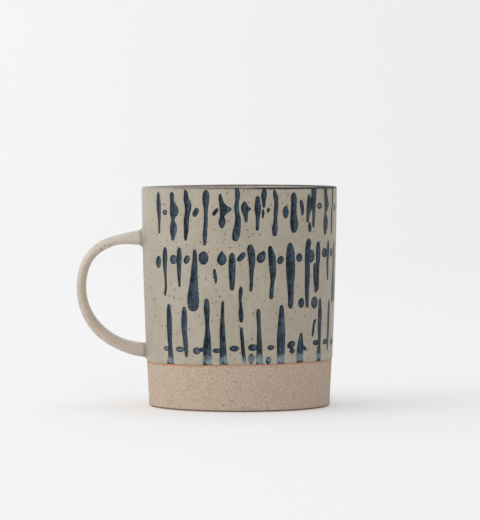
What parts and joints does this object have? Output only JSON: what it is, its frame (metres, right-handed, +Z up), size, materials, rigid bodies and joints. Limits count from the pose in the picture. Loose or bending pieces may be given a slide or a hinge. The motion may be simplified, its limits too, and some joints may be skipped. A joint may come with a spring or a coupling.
{
  "type": "stoneware mug",
  "caption": "Straight-sided stoneware mug with a pulled side handle, a dipped satin glaze over carved indigo strokes and a raw clay foot band.",
  "frame": {"origin": "on the cup's axis at the middle of the flat foot, on the surface that the mug stands on", "axes": "+Z up along the cup's axis; -X out along the handle; -Y towards the side that faces a right-handed drinker's viewer"},
  "size_m": [0.1156, 0.0866, 0.098],
  "materials": {
    "raw_stoneware": "unglazed fine sandy stoneware, matte",
    "oatmeal_glaze": "satin oatmeal glaze with iron speckles",
    "indigo_glaze": "indigo glaze pooled in carved strokes, satin",
    "liner_glaze": "smooth pale satin liner glaze",
    "lip_glaze": "thin glaze broken to iron brown on the edge"
  },
  "bodies": {
    "root": {"stoneware_cup": "raw_stoneware", "handle": "raw_stoneware", "upper_handle_joint": "oatmeal_glaze", "lower_handle_joint": "oatmeal_glaze", "outer_glaze": "oatmeal_glaze", "liner_glaze": "liner_glaze", "lip_glaze": "lip_glaze", "handle_glaze": "oatmeal_glaze"}
  },
  "joints": []
}
